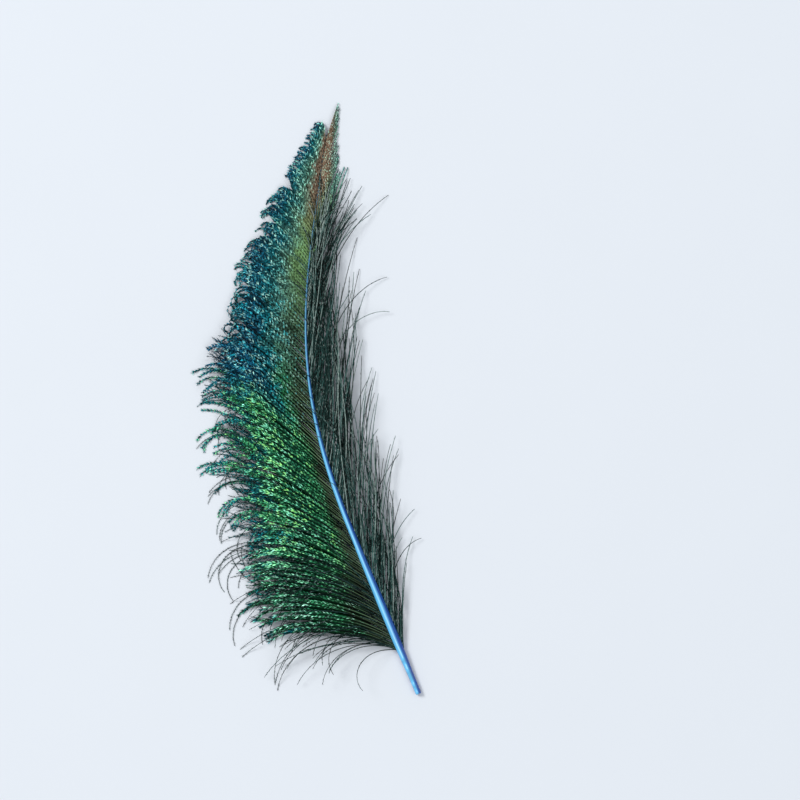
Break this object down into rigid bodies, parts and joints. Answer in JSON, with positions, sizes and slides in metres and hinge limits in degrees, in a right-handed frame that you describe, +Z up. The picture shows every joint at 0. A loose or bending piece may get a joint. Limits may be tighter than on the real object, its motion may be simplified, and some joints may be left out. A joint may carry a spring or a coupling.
{
  "type": "dyed peacock sword feather",
  "caption": "Peacock sword feather with a bright blue dyed shaft, a dense iridescent outer vane and loose dark inner barbs, lying face up on a flat surface.",
  "frame": {"origin": "under the middle of the feather's box, on the surface it lies on", "axes": "+Z up from the surface, +Y from the cut end of the quill towards the tip, +X towards the loose inner vane"},
  "size_m": [0.1142, 0.295, 0.0077],
  "materials": {
    "shaft_keratin": "dyed keratin, smooth and glossy",
    "outer_barbs": "iridescent barbules over dark barbs",
    "inner_barbs": "loose dark barbs with a slight green sheen"
  },
  "bodies": {
    "root": {"shaft": "shaft_keratin", "outer_vane": "outer_barbs", "inner_vane": "inner_barbs"}
  },
  "joints": []
}
